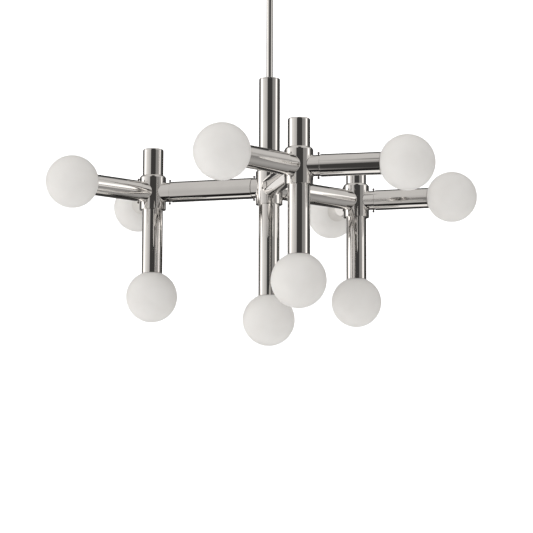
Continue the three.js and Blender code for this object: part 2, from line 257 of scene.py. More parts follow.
def dark_steel():
    """Oil blackened steel of the clamp screws, rubbed brighter in places."""
    material, nodes, links, shader, place = new_material("blackened_steel")
    shader.inputs["Metallic"].default_value = 1.0
    rubbed = noise(nodes, links, place, 300, 4, 0.6)
    links.new(blend_colours(nodes, links, rubbed, (0.16, 0.15, 0.14), (0.33, 0.31, 0.29)),
              shader.inputs["Base Color"])
    links.new(spread(nodes, links, rubbed, 0.34, 0.2), shader.inputs["Roughness"])
    bump(nodes, links, shader, noise(nodes, links, place, 1200, 2), 0.1, 0.0001)
    return material


def opal_glass():
    """Matt etched opal glass: milky white, very slightly cloudy."""
    material, nodes, links, shader, place = new_material("opal_glass")
    clouds = noise(nodes, links, place, 14, 4, 0.55, 0.3)
    links.new(blend_colours(nodes, links, clouds, (0.905, 0.882, 0.852), (0.945, 0.924, 0.896)),
              shader.inputs["Base Color"])
    etching = noise(nodes, links, place, 90, 4, 0.6)
    links.new(spread(nodes, links, etching, 0.40, 0.52), shader.inputs["Roughness"])
    shader.inputs["IOR"].default_value = 1.5
    shader.inputs["Specular IOR Level"].default_value = 0.2
    shader.inputs["Subsurface Weight"].default_value = 0.25
    shader.inputs["Subsurface Radius"].default_value = (1.0, 0.95, 0.9)
    shader.inputs["Subsurface Scale"].default_value = 0.004
    grain = noise(nodes, links, place, 1400, 2)
    bump(nodes, links, shader, grain, 0.08, 0.0001)
    return material


def cap_metal():
    """Nickel-plated brass lamp cap: thin, a little dull, browned in random patches."""
    material, nodes, links, shader, place = new_material("lamp_cap_metal")
    shader.inputs["Metallic"].default_value = 1.0
    stains = noise(nodes, links, place, 120, 5, 0.6)
    links.new(blend_colours(nodes, links, stains, (0.60, 0.56, 0.48), (0.76, 0.74, 0.69)),
              shader.inputs["Base Color"])
    links.new(spread(nodes, links, stains, 0.42, 0.22), shader.inputs["Roughness"])
    bump(nodes, links, shader, noise(nodes, links, place, 900, 3), 0.12, 0.0001)
    return material


def ceramic():
    """Unglazed white ceramic with a fine grain and faint specks."""
    material, nodes, links, shader, place = new_material("lampholder_ceramic")
    specks = noise(nodes, links, place, 600, 3, 0.7)
    links.new(blend_colours(nodes, links, specks, (0.74, 0.71, 0.66), (0.88, 0.865, 0.83), 0.25, 0.45),
              shader.inputs["Base Color"])
    links.new(spread(nodes, links, noise(nodes, links, place, 60), 0.5, 0.7), shader.inputs["Roughness"])
    bump(nodes, links, shader, noise(nodes, links, place, 1500, 3), 0.25, 0.0001)
    return material


def zinc_steel():
    """Zinc plated sheet steel: spangled grey with a dull, uneven shine."""
    material, nodes, links, shader, place = new_material("zinc_plated_steel")
    shader.inputs["Metallic"].default_value = 1.0
    spangle = nodes.new("ShaderNodeTexVoronoi")
    spangle.inputs["Scale"].default_value = 160
    links.new(place, spangle.inputs["Vector"])
    shade = spread(nodes, links, spangle.outputs["Color"], 0.0, 1.0, 0.0, 1.0)
    links.new(blend_colours(nodes, links, shade, (0.50, 0.51, 0.53), (0.66, 0.67, 0.68), 0, 1),
              shader.inputs["Base Color"])
    links.new(spread(nodes, links, shade, 0.32, 0.5, 0.0, 1.0), shader.inputs["Roughness"])
    bump(nodes, links, shader, noise(nodes, links, place, 700, 4), 0.15, 0.0001)
    return material


def white_nylon():
    """Moulded white nylon with a fine moulding texture."""
    material, nodes, links, shader, place = new_material("terminal_plastic")
    flow = noise(nodes, links, place, 70, 3)
    links.new(blend_colours(nodes, links, flow, (0.80, 0.79, 0.76), (0.87, 0.865, 0.845)),
              shader.inputs["Base Color"])
    links.new(spread(nodes, links, flow, 0.42, 0.55), shader.inputs["Roughness"])
    bump(nodes, links, shader, noise(nodes, links, place, 1800, 2), 0.2, 0.0001)
    return material


def brass():
    """Bare brass of contacts and terminal screws, a little tarnished."""
    material, nodes, links, shader, place = new_material("contact_brass")
    shader.inputs["Metallic"].default_value = 1.0
    tarnish = noise(nodes, links, place, 200, 4, 0.6)
    links.new(blend_colours(nodes, links, tarnish, (0.55, 0.40, 0.20), (0.80, 0.64, 0.36)),
              shader.inputs["Base Color"])
    links.new(spread(nodes, links, tarnish, 0.4, 0.25), shader.inputs["Roughness"])
    bump(nodes, links, shader, noise(nodes, links, place, 1000, 2), 0.1, 0.0001)
    return material


def black_insulator():
    """Dark vitreous insulator between a lamp cap's shell and its contact."""
    material, nodes, links, shader, place = new_material("cap_insulator")
    swirl = noise(nodes, links, place, 250, 3)
    links.new(blend_colours(nodes, links, swirl, (0.012, 0.012, 0.014), (0.03, 0.03, 0.035)),
              shader.inputs["Base Color"])
    links.new(spread(nodes, links, swirl, 0.12, 0.25), shader.inputs["Roughness"])
    bump(nodes, links, shader, swirl, 0.1, 0.0002)
    return material


NICKEL, OPAL, CAP_METAL, CERAMIC = polished_nickel(), opal_glass(), cap_metal(), ceramic()
ZINC, NYLON, BRASS, INSULATOR = zinc_steel(), white_nylon(), brass(), black_insulator()
SCREW_STEEL = dark_steel()

# ------------------------------------------------------------------ mesh helpers


def round_corner(before, corner, after, radius, steps):
    """Points of the arc that rounds one corner of an outline."""
    a, b = (Vector(before) - Vector(corner)), (Vector(after) - Vector(corner))
    half = a.angle(b) / 2
    if radius <= 0 or half > math.radians(88) or half < math.radians(1):
        return [tuple(corner)]
    reach = min(radius / math.tan(half), 0.48 * a.length, 0.48 * b.length)
    radius = reach * math.tan(half)
    start = Vector(corner) + a.normalized() * reach
    end = Vector(corner) + b.normalized() * reach
    centre = Vector(corner) + (a.normalized() + b.normalized()).normalized() * (radius / math.sin(half))
    first, last = start - centre, end - centre
    sweep = first.angle_signed(last)
    return [tuple(centre + Matrix.Rotation(-sweep * i / steps, 2) @ first) for i in range(steps + 1)]


def outline(corners, rounding=TUBE_EDGE, steps=4, hold=0.2, longest=None):
    """Closed outline in (radius, height) from corners, each (r, z) or (r, z, rounding).

    Extra points close to each rounded corner keep the long faces' shading flat, and `longest`
    divides the faces between them.
    """
    rounded = []
    count = len(corners)
    for i, corner in enumerate(corners):
        radius = corner[2] if len(corner) > 2 else rounding
        before, after = corners[i - 1][:2], corners[(i + 1) % count][:2]
        if corner[0] <= 0:
            radius = 0
        rounded += round_corner(before, corner[:2], after, radius, steps)
    points = []
    for i, point in enumerate(rounded):
        following = rounded[(i + 1) % len(rounded)]
        points.append(point)
        edge = Vector(following) - Vector(point)
        on_axis = point[0] <= 0 and following[0] <= 0
        if on_axis or edge.length < 4 * hold:
            continue
        cuts = [hold / edge.length, 1 - hold / edge.length]
        if longest:
            parts = math.ceil(edge.length / longest)
            cuts += [k / parts for k in range(1, parts)]
        points += [tuple(Vector(point) + edge * cut) for cut in sorted(cuts)]
    return points


def finish_mesh(name, vertices, faces, matrix, sharp=35):
    """Object from millimetre vertices, closed and facing out, smooth up to the sharp angle."""
    mesh = bpy.data.meshes.new(name)
    mesh.from_pydata(vertices, [], faces)
    mesh.transform(matrix)
    mesh.update()
    volume = 0.0
    for polygon in mesh.polygons:
        v = [mesh.vertices[i].co for i in polygon.vertices]
        for k in range(1, len(v) - 1):
            volume += v[0].dot(v[k].cross(v[k + 1]))
    if volume < 0:
        mesh.flip_normals()
    shade(mesh, sharp)
    piece = bpy.data.objects.new(name, mesh)
    bpy.context.scene.collection.objects.link(piece)
    return piece


def shade(mesh, sharp=35):
    mesh.polygons.foreach_set("use_smooth", [True] * len(mesh.polygons))
    mesh.set_sharp_from_angle(angle=math.radians(sharp))
    mesh.update()


def revolve(name, points, matrix, sides=TUBE_SIDES, shape=None, sharp=35):
    """Closed body of revolution about +Z; shape(r, z, angle) may change a point's radius."""
    vertices, rows = [], []
    for r, z in points:
        if r <= 1e-9:
            rows.append([len(vertices)] * sides)
            vertices.append((0, 0, z))
            continue
        rows.append(list(range(len(vertices), len(vertices) + sides)))
        for k in range(sides):
            angle = 2 * math.pi * k / sides
            radius = shape(r, z, angle) if shape else r
            vertices.append((radius * math.cos(angle), radius * math.sin(angle), z))
    faces = []
    for i, row in enumerate(rows):
        following = rows[(i + 1) % len(rows)]
        if row[0] == row[1] and following[0] == following[1]:
            continue
        for k in range(sides):
            n = (k + 1) % sides
            face = dict.fromkeys((row[k], row[n], following[n], following[k]))
            faces.append(tuple(face))
    return finish_mesh(name, vertices, faces, matrix, sharp)


def prism(name, points, low, high, matrix):
    """Closed prism over a flat outline of (x, y) points."""
    count = len(points)
    vertices = [(x, y, low) for x, y in points] + [(x, y, high) for x, y in points]
    faces = [tuple(range(count))[::-1], tuple(range(count, 2 * count))]
    faces += [(i, (i + 1) % count, (i + 1) % count + count, i + count) for i in range(count)]
    return finish_mesh(name, vertices, faces, matrix)


def flat_outline(corners, rounding, steps=6):
    points = []
    for i, corner in enumerate(corners):
        after = corners[(i + 1) % len(corners)]
        points += round_corner(corners[i - 1], corner, after, rounding, steps)
    return points


def slot_outline(x_in, x_out, radius, steps=12):
    """Slot along X between two centres."""
    points = []
    for centre, start in ((x_out, -90), (x_in, 90)):
        for k in range(steps + 1):
            a = math.radians(start + 180 * k / steps)
            points.append((centre + radius * math.cos(a), radius * math.sin(a)))
    return points


def combine(piece, others, operation):
    """Joins the others to a piece, or cuts them from it, and removes them."""
    for other in others:
        modifier = piece.modifiers.new("combine", "BOOLEAN")
        modifier.operation = operation
        modifier.solver = "MANIFOLD"
        modifier.object = other
        apply_modifiers(piece)
        bpy.data.objects.remove(other)


def apply_modifiers(piece):
    bpy.context.view_layer.update()
    evaluated = piece.evaluated_get(bpy.context.evaluated_depsgraph_get())
    mesh = bpy.data.meshes.new_from_object(evaluated)
    piece.modifiers.clear()
    piece.data = mesh


def soften(piece, width=0.3, segments=2, sharp=35):
    """Small bevel on every sharp edge, with even shading."""
    bevel = piece.modifiers.new("bevel", "BEVEL")
    bevel.width = width * MM
    bevel.segments = segments
    bevel.limit_method = "ANGLE"
    bevel.angle_limit = math.radians(30)
    bevel.use_clamp_overlap = True
    apply_modifiers(piece)
    even_shading(piece, sharp)


def even_shading(piece, sharp=35):
    shade(piece.data, sharp)
    modifier = piece.modifiers.new("even_shading", "WEIGHTED_NORMAL")
    modifier.keep_sharp = True


def dress(piece, material, body, *nodes):
    """Gives a piece its material, its body and the CAD nodes that it stands for."""
    piece.data.materials.clear()
    piece.data.materials.append(material)
    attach(piece, body)
    if nodes:
        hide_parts(*nodes)
    return piece


# ------------------------------------------------------------------ tubes


def open_tube(node, start, end, matrix):
    """Tube with softly broken edges; its CAD node has the same name."""
    corners = [(TUBE_BORE_R, start), (TUBE_R, start), (TUBE_R, end), (TUBE_BORE_R, end)]
    piece = revolve(node + "_tube", outline(corners, longest=12), matrix)
    return dress(piece, NICKEL, "fixture", node)


def stub_tube(side):
    """Short tube whose closed top has a softly rounded edge."""
    low = COLLAR_TOP - POCKET_DEPTH + GAP
    corners = [
        (TUBE_BORE_R, low), (TUBE_R, low), (TUBE_R, STUB_TOP, STUB_EDGE), (0, STUB_TOP),
        (0, STUB_TOP - STUB_WALL), (TUBE_BORE_R, STUB_TOP - STUB_WALL),
    ]
    points = outline(corners, steps=6, longest=8)
    piece = revolve("stub_" + side + "_closed_tube", points, upright(hub_axis[side]))
    dress(piece, NICKEL, "fixture", "stub_" + side)


def centre_top():
    """Flat cap of the centre tube, with its plug and a hole for the stem, and the centre's upper tube."""
    plate_low = CENTRE_TOP - CAP_PLATE
    corners = [
        (STEM_CLEARANCE_R, plate_low - CAP_PLUG), (CAP_PLUG_R, plate_low - CAP_PLUG, 1),
        (CAP_PLUG_R, plate_low), (TUBE_R, plate_low), (TUBE_R, CENTRE_TOP, 1.3),
        (STEM_CLEARANCE_R, CENTRE_TOP),
    ]
    cap = revolve("centre_cap_plate", outline(corners, 0.3, longest=6), upright(hub_axis["centre"]))
    dress(cap, NICKEL, "fixture", "centre_top_cap")
    open_tube("centre_upper_tube", COLLAR_TOP - POCKET_DEPTH + GAP, plate_low - GAP,
              upright(hub_axis["centre"]))


def arm_tubes():
    """The three level arms between the centre hub and the satellite hubs."""
    for side in OUTER_ARMS:
        direction = (hub_axis[side] - hub_axis["centre"]).normalized()
        open_tube("inner_arm_" + side, CENTRE_BRANCH, INNER_REACH - SATELLITE_BRANCH,
                  along(hub_axis["centre"], direction))


# ------------------------------------------------------------------ hubs


def collar(name, matrix):
    """Sleeve with a bevelled top shoulder, a pocket at each end and a wire passage."""
    floor_high, floor_low = COLLAR_TOP - POCKET_DEPTH, COLLAR_BOTTOM + POCKET_DEPTH
    corners = [
        (COLLAR_R, COLLAR_BOTTOM, 0.3),
        *((COLLAR_R - inward, COLLAR_TOP - down, 1) for inward, down in SHOULDER_FACETS),
        (POCKET_R, COLLAR_TOP, 0.1),
        (POCKET_R, floor_high), (WIRE_BORE_R, floor_high), (WIRE_BORE_R, floor_low),
        (POCKET_R, floor_low), (POCKET_R, COLLAR_BOTTOM, 0.2),
    ]
    return revolve(name, outline(corners, 0.3, steps=6, hold=0.1), matrix)


def branch_section(angle, length):
    """Points along a branch at one angle round it, in a frame whose X is the branch's axis.

    A ball of the fillet's radius rolls in the corner between the collar and the branch.
    """
    across, up = math.cos(angle), math.sin(angle)
    seat_r = COLLAR_R - FILLET_SINK
    ball_y, ball_z = (BRANCH_R + FILLET) * across, (BRANCH_R + FILLET) * up
    ball_x = math.sqrt((seat_r + FILLET) ** 2 - ball_y**2)
    ball = Vector((ball_x, ball_y, ball_z))
    on_branch = Vector((ball_x, BRANCH_R * across, BRANCH_R * up))
    on_collar = Vector((ball_x * seat_r / (seat_r + FILLET), ball_y * seat_r / (seat_r + FILLET), ball_z))
    first, last = on_collar - ball, on_branch - ball

    def ring(x, r):
        return Vector((x, r * across, r * up))

    points = [ring(BRANCH_ROOT_X, BRANCH_ROOT_R), on_collar - on_collar.normalized() * 2]
    turn = first.rotation_difference(last)
    for k in range(FILLET_STEPS + 1):
        partial = Matrix.Rotation(turn.angle * k / FILLET_STEPS, 3, turn.axis)
        points.append(ball + partial @ first)
    end = length - GAP
    points += [
        ring(ball_x + 0.3, BRANCH_R), ring((ball_x + end) / 2, BRANCH_R), ring(end - 0.6, BRANCH_R),
        ring(end - 0.3, BRANCH_R - 0.02), ring(end - 0.09, BRANCH_R - 0.12),
        ring(end, BRANCH_R - BRANCH_EDGE), ring(end, BRANCH_PLUG_R),
        ring(end + 0.3, BRANCH_PLUG_R), ring(end + BRANCH_PLUG - 1, BRANCH_PLUG_R),
        ring(length + BRANCH_PLUG, BRANCH_PLUG_R - 1),
    ]
    return points


def branch(name, length, matrix, sides=TUBE_SIDES):
    """One branch of a hub as a closed body that starts inside the collar."""
    sections = [branch_section(2 * math.pi * k / sides, length) for k in range(sides)]
    rows = len(sections[0])
    vertices = [point for section in sections for point in section]
    faces = []
    for k in range(sides):
        here, there = k * rows, (k + 1) % sides * rows
        faces += [(here + i, here + i + 1, there + i + 1, there + i) for i in range(rows - 1)]
    faces.append(tuple(k * rows for k in range(sides)))
    faces.append(tuple(k * rows + rows - 1 for k in range(sides))[::-1])
    return finish_mesh(name, vertices, faces, matrix)


def cylinder_cutter(radius, low, high, matrix, sides=SMALL_SIDES):
    return revolve("cutter", [(0, low), (radius, low), (radius, high), (0, high)], matrix, sides)


def hub(side, directions, length, screw_inset):
    """Collar, branches and wire passages joined into one casting."""
    node = "centre_hub" if side == "centre" else "hub_" + side
    origin = hub_axis[side]
    in_place = Matrix.Identity(4)
    piece = collar(node + "_casting", in_place)
    branches, passages = [], []
    for direction in directions:
        turn = Matrix.Rotation(math.atan2(direction.y, direction.x), 4, "Z")
        branches.append(branch("branch", length, turn))
        level = turn @ Matrix.Rotation(math.radians(90), 4, "Y")
        passages.append(cylinder_cutter(WIRE_BORE_R, 0, length + BRANCH_PLUG + 1, level))
    passages.append(cylinder_cutter(WIRE_BORE_R, -30, 30, in_place))
    combine(piece, branches, "UNION")
    combine(piece, passages, "DIFFERENCE")
    piece.data.transform(upright(origin))
    even_shading(piece)
    dress(piece, NICKEL, "fixture", node)
    for number, direction in enumerate(directions, 1):
        for name, up in (("top", 1), ("bottom", -1)):
            seat = origin + direction * ((length - screw_inset) * MM)
            clamp_screw(f"{node}_screw_{number}_{name}", along(seat, (0, 0, up)))


def clamp_screw(name, matrix):
    """Small screw with a ball head on a short neck, seated in a low ring."""
    ball_at = BRANCH_R + SCREW_RISE
    meets = math.asin(SCREW_R / SCREW_BALL_R)
    points = [(0, BRANCH_PLUG_R - 1), (SCREW_R + 0.5, BRANCH_PLUG_R - 1),
              (SCREW_R + 0.5, BRANCH_R + 0.15), (SCREW_R + 0.35, BRANCH_R + 0.35),
              (SCREW_R, BRANCH_R + 0.4), (SCREW_R - 0.15, BRANCH_R + 0.9)]
    steps = 10
    for k in range(steps + 1):
        a = -math.pi / 2 + meets + (math.pi - meets) * k / steps
        points.append((max(0.0, SCREW_BALL_R * math.cos(a)) if k < steps else 0.0,
                       ball_at + SCREW_BALL_R * math.sin(a)))
    dress(revolve(name, points, matrix, SCREW_SIDES, sharp=50), SCREW_STEEL, "fixture")


# ------------------------------------------------------------------ lamps


def sphere_arc(radius, centre, start, end, steps):
    """Points on a circle round (0, centre); angles in degrees up from level."""
    points = []
    for k in range(steps + 1):
        a = math.radians(start + (end - start) * k / steps)
        points.append((radius * math.cos(a), centre + radius * math.sin(a)))
    return points


def globe(place, reach, matrix):
    """Hollow opal globe whose neck is drawn out with a soft shoulder, open at its end."""
    inner_r = GLOBE_R - GLASS_WALL
    turn = -90 + math.degrees(math.asin(NECK_JOIN_R / GLOBE_R))
    end = reach - NECK_END
    outer = sphere_arc(GLOBE_R, reach, turn, 90, 44)
    inner = sphere_arc(inner_r, reach, 90, turn, 24)
    outer[-1], inner[0] = (0, outer[-1][1]), (0, inner[0][1])
    join_z = outer[0][1]
    neck = []
    for k in range(8):
        s = k / 8
        widen = NECK_FLARE * min(1, s * 2) + (NECK_JOIN_R - NECK_R - NECK_FLARE) * max(0, s * 2 - 1) ** 2
        neck.append((NECK_R + widen, end + (join_z - end) * s))
    inner_neck = [(r - GLASS_WALL, z) for r, z in neck]
    points = neck + outer + inner + inner_neck[::-1]
    piece = revolve("globe_" + place + "_glass", points, matrix, GLOBE_SIDES, sharp=50)
    dress(piece, OPAL, "lamp_" + place, "globe_" + place)


def thread(crest, low, high):
    """Radius rule for a rolled round thread between two heights that fades out at both ends."""
    def shape(r, z, angle):
        if not low < z < high or abs(r - crest) > 0.01:
            return r
        fade = min(1, (z - low) / 1.5, (high - z) / 1.5)
        wave = 0.5 - 0.5 * math.cos(2 * math.pi * z / THREAD_PITCH + angle)
        return r - THREAD_DEPTH * wave * fade
    return shape


def lamp_cap(place, reach, matrix):
    """Screw cap: flared rim, rolled thread, dark insulator and contact button."""
    rim = reach - NECK_END - GAP
    shell, tip = rim - 4, reach - LAMP_CAP_END
    shell_end = tip + 7
    corners = [
        (7.5, tip + 3.4, 0.2), (9.5, tip + 3.6, 0.6), (LAMP_CAP_R - 0.4, shell_end, 1.2),
        (LAMP_CAP_R, shell_end + 1.2, 0.3), (LAMP_CAP_R, shell, 0.6),
        (LAMP_CAP_RIM_R, rim, 0.3), (LAMP_CAP_RIM_R - 0.8, rim, 0.2),
        (LAMP_CAP_R - 1.3, shell, 0.5), (LAMP_CAP_R - 1.3, shell_end + 1.5, 0.5), (7.5, tip + 4.6, 0.2),
    ]
    points = outline(corners, longest=0.45, hold=0.1)
    piece = revolve("lamp_cap_" + place + "_shell", points, matrix, SMALL_SIDES,
                    thread(LAMP_CAP_R, shell_end + 1.2, shell))
    dress(piece, CAP_METAL, "lamp_" + place, "lamp_cap_" + place)
    insulator = [(4.2, tip + 1.2), (7.4, tip + 3.0, 0.8), (7.4, tip + 5.5), (4.2, tip + 5.5)]
    dress(revolve("lamp_cap_" + place + "_insulator", outline(insulator), matrix, SMALL_SIDES),
          INSULATOR, "lamp_" + place)
    button = [(0, tip), (3.4, tip + 0.2, 0.8), (4.0, tip + 1.6, 0.3), (4.0, tip + 3), (0, tip + 3)]
    dress(revolve("lamp_cap_" + place + "_contact", outline(button), matrix, SMALL_SIDES),
          BRASS, "lamp_" + place)


def lampholder(place, reach, matrix):
    """Ceramic cup with a ribbed body, a brass screw liner and a sprung contact tongue."""
    mouth, end = reach - HOLDER_MOUTH, reach - HOLDER_END
    flange = mouth - HOLDER_DEPTH
    corners = [
        (0, end), (HOLDER_R - 4, end, 1), (HOLDER_FLANGE_R, flange - 4, 1),
        (HOLDER_FLANGE_R, flange, 0.6), (HOLDER_R, flange, 0.6), (HOLDER_R, mouth - 3, 0.4),
        (HOLDER_R - 0.7, mouth - 2.6, 0.4), (HOLDER_R - 0.7, mouth, 1),
        (HOLDER_BORE_R + 1, mouth, 0.6), (HOLDER_BORE_R + 1, flange, 0.4), (0, flange),
    ]

    def ribs(r, z, angle):
        inside_body = flange + 2 < z < mouth - 4 and r > HOLDER_R - 0.1
        return r - (0.5 if inside_body and math.cos(24 * angle) < 0 else 0)

    points = outline(corners, longest=3)
    piece = revolve("lampholder_" + place + "_body", points, matrix, 96, ribs)
    dress(piece, CERAMIC, "fixture", "lampholder_" + place)
    liner = [(HOLDER_BORE_R, flange + 0.4), (HOLDER_BORE_R + 0.8, flange + 0.4),
             (HOLDER_BORE_R + 0.8, mouth - 1), (HOLDER_BORE_R, mouth - 1)]
    dress(revolve("lampholder_" + place + "_liner", outline(liner, 0.15, longest=2), matrix, SMALL_SIDES),
          BRASS, "fixture")
    tongue = [(0, flange + 0.2), (4.5, flange + 0.2, 0.3), (4.5, flange + 0.9, 0.3),
              (2.4, flange + 1.5, 0.5), (0, flange + 1.5)]
    dress(revolve("lampholder_" + place + "_contact", outline(tongue, 0.2), matrix, SMALL_SIDES),
          BRASS, "fixture")


def lamp_unit(tube_node, place, side, start, reach):
    """Tube end with its holder and globe lamp, along the lamp's own joint axis."""
    matrix = along(hub_axis[side], lamp_axis[place])
    open_tube(tube_node, start, reach - GLOBE_SEAT, matrix)
    lampholder(place, reach, matrix)
    lamp_cap(place, reach, matrix)
    globe(place, reach, matrix)


# ------------------------------------------------------------------ suspension


def stem():
    """Hollow stem, threaded at its top for the nut."""
    low = arm_level / MM + CENTRE_TOP - CAP_PLATE - CAP_PLUG - STEM_UNDER_CAP
    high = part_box("stem_rod")[1].z / MM
    threaded, thread_end = high - STEM_THREAD, high - 0.8
    corners = [(STEM_BORE_R, low), (STEM_R, low, 0.6), (STEM_R, threaded, 0), (STEM_R, high, 0.6),
               (STEM_BORE_R, high)]
    points = outline(corners, 0.3)
    at = max(i for i, (r, z) in enumerate(points) if r > STEM_R - 0.01 and z <= threaded + 0.01)
    fine = [(STEM_R, threaded + 0.2 * k) for k in range(1, 52)]
    crests = [(r, z) for r, z in fine if z < thread_end]
    end = [(r, z) for r, z in points[at + 1:] if z > thread_end or r < STEM_R - 0.01]
    points = points[:at + 1] + crests + end

    def shape(r, z, angle):
        if z <= threaded or r < STEM_R - 0.01:
            return r
        return r - 0.25 + 0.25 * math.cos(2 * math.pi * z + angle)

    dress(revolve("stem_tube", points, CEILING, 96, shape, sharp=60), NICKEL, "fixture", "stem_rod")


def ball_and_nut():
    """Swivel ball bored for the stem, and the nut that rests on it."""
    flat = math.degrees(math.asin(BALL_FLAT / BALL_R))
    face = sphere_arc(BALL_R, ball_z, -flat, flat, 28)
    points = [(STEM_CLEARANCE_R, ball_z - BALL_FLAT), *face, (STEM_CLEARANCE_R, ball_z + BALL_FLAT)]
    dress(revolve("swivel_ball_turned", points, CEILING, 96), NICKEL, "swivel", "swivel_ball")
    low = ball_z + BALL_FLAT + GAP
    high = low + NUT_HEIGHT
    apothem = NUT_R * math.cos(math.radians(30))
    corners = [(STEM_CLEARANCE_R, low + 0.3), (STEM_CLEARANCE_R + 0.5, low), (apothem - 0.2, low),
               (NUT_R, low + 1.3), (NUT_R, high - 1.3), (apothem - 0.2, high),
               (STEM_CLEARANCE_R + 0.5, high), (STEM_CLEARANCE_R, high - 0.3)]

    def hexagon(r, z, angle):
        side = (angle + math.radians(30)) % math.radians(60) - math.radians(30)
        return min(r, apothem / math.cos(side)) if r > STEM_CLEARANCE_R + 1 else r

    nut = revolve("stem_nut_hexagon", outline(corners, 0.12, 2, longest=0.8), CEILING, 120, hexagon, 28)
    dress(nut, ZINC, "swivel", "stem_nut")


def canopy():
    """Spun cover cup with a rolled rim, a ball seat and two screw holes."""
    low = -CANOPY_DEPTH
    inner_r = CANOPY_R - CANOPY_WALL
    corners = [
        (CANOPY_HOLE_R, low, 0.6), (CANOPY_R, low, CANOPY_ROUND), (CANOPY_R, -GAP, 0.6),
        (inner_r, -GAP, 0.6), (inner_r, low + CANOPY_WALL, CANOPY_ROUND - CANOPY_WALL),
        (CANOPY_HOLE_R, low + CANOPY_WALL, 0.6),
    ]
    piece = revolve("canopy_cup", outline(corners, steps=10, longest=6), CEILING, 160)
    holes = []
    for node in ("canopy_screw_left", "canopy_screw_right"):
        at = Matrix.Translation((middle(node).x, 0, 0)) @ Matrix.Scale(MM, 4)
        holes.append(cylinder_cutter(CANOPY_SCREW_R + GAP, low - 2, low + CANOPY_WALL + 2, at, 32))
    combine(piece, holes, "DIFFERENCE")
    even_shading(piece)
    dress(piece, NICKEL, "root", "canopy")


def canopy_screw(node):
    """Long screw with a knurled, domed knob under the canopy."""
    at = Matrix.Translation((middle(node).x, 0, 0)) @ Matrix.Scale(MM, 4)
    top = -CANOPY_DEPTH - GAP
    low = top - KNOB_HEIGHT
    corners = [(0, low), (KNOB_R - 1.5, low, 1), (KNOB_R, low + 1.4, 0.4), (KNOB_R, top, 0.5),
               (CANOPY_SCREW_R, top, 0.2), (CANOPY_SCREW_R, -2 * GAP, 0.4), (0, -2 * GAP)]

    def shape(r, z, angle):
        if r > KNOB_R - 0.05 and low + 1.6 < z < top - 0.6:
            return r - 0.12 + 0.12 * math.cos(32 * angle)
        if abs(r - CANOPY_SCREW_R) < 0.01 and z > top + 1:
            return r - 0.15 + 0.15 * math.cos(2 * math.pi * z / 0.8 + angle)
        return r

    piece = revolve(node + "_knurled", outline(corners, longest=0.27, hold=0.1), at, 128, shape, 60)
    dress(piece, NICKEL, "root", node)


def ceiling_bracket():
    """Pressed steel crossbar with slots, tapped holes and an ear for the terminal block."""
    low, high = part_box("ceiling_bracket")
    half, ear_y = high.x / MM, high.y / MM
    width, ear = -low.y / MM, 13
    corners = [(-half, -width), (half, -width), (half, width), (ear, width), (ear, ear_y),
               (-ear, ear_y), (-ear, width), (-half, width)]
    plate = prism("ceiling_bracket_plate", flat_outline(corners, 2), -BRACKET_THICKNESS, 0, CEILING)
    cutters = [prism("cutter", slot_outline(*ends, BRACKET_SLOT_R), -5, 2, CEILING)
               for ends in BRACKET_SLOTS]
    for node in ("canopy_screw_left", "canopy_screw_right"):
        at = Matrix.Translation((middle(node).x, 0, 0)) @ Matrix.Scale(MM, 4)
        cutters.append(cylinder_cutter(CANOPY_SCREW_R + GAP, -5, 2, at, 32))
    combine(plate, cutters, "DIFFERENCE")
    soften(plate, 0.35)
    dress(plate, ZINC, "root", "ceiling_bracket")


def terminal_block():
    """Moulded two-pole block with wire mouths, dividing ribs and brass clamp screws."""
    low, high = (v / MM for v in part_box("terminal_block"))
    x0, x1, y0, y1 = low.x, high.x, low.y, high.y
    body = prism("terminal_block_body", flat_outline([(x0, y0), (x1, y0), (x1, y1), (x0, y1)], 1.2),
                 low.z, high.z, CEILING)
    centre_y = (y0 + y1) / 2
    cutters, wells = [], [x0 + (x1 - x0) * share for share in (0.27, 0.73)]
    for x in wells:
        mouth = along(Vector((x, y0 - 1, (low.z + high.z) / 2)) * MM, (0, 1, 0))
        cutters.append(cylinder_cutter(2.3, 0, y1 - y0 + 2, mouth, 32))
        for y in (centre_y - 5, centre_y + 5):
            at = Matrix.Translation(Vector((x, y, 0)) * MM) @ Matrix.Scale(MM, 4)
            cutters.append(cylinder_cutter(2.4, low.z - 1, low.z + 4, at, 32))
    gap = [((x0 + x1) / 2 - 0.8, y0 - 1), ((x0 + x1) / 2 + 0.8, y0 - 1),
           ((x0 + x1) / 2 + 0.8, y1 + 1), ((x0 + x1) / 2 - 0.8, y1 + 1)]
    cutters.append(prism("cutter", gap, low.z - 1, low.z + 3, CEILING))
    combine(body, cutters, "DIFFERENCE")
    soften(body, 0.25)
    dress(body, NYLON, "root", "terminal_block")
    for i, x in enumerate(wells):
        for j, y in enumerate((centre_y - 5, centre_y + 5)):
            at = Matrix.Translation(Vector((x, y, low.z + 1.2)) * MM) @ Matrix.Scale(MM, 4)
            corners = [(0, 0), (2.0, 0, 0.4), (2.0, 2.6), (0, 2.6)]
            screw = revolve(f"terminal_screw_{i}_{j}", outline(corners, 0.1), at, 32)
            slot = prism("cutter", [(-3, -0.3), (3, -0.3), (3, 0.3), (-3, 0.3)], -1, 0.7, at)
            combine(screw, [slot], "DIFFERENCE")
            even_shading(screw)
            dress(screw, BRASS, "root")


# ------------------------------------------------------------------ the whole fixture


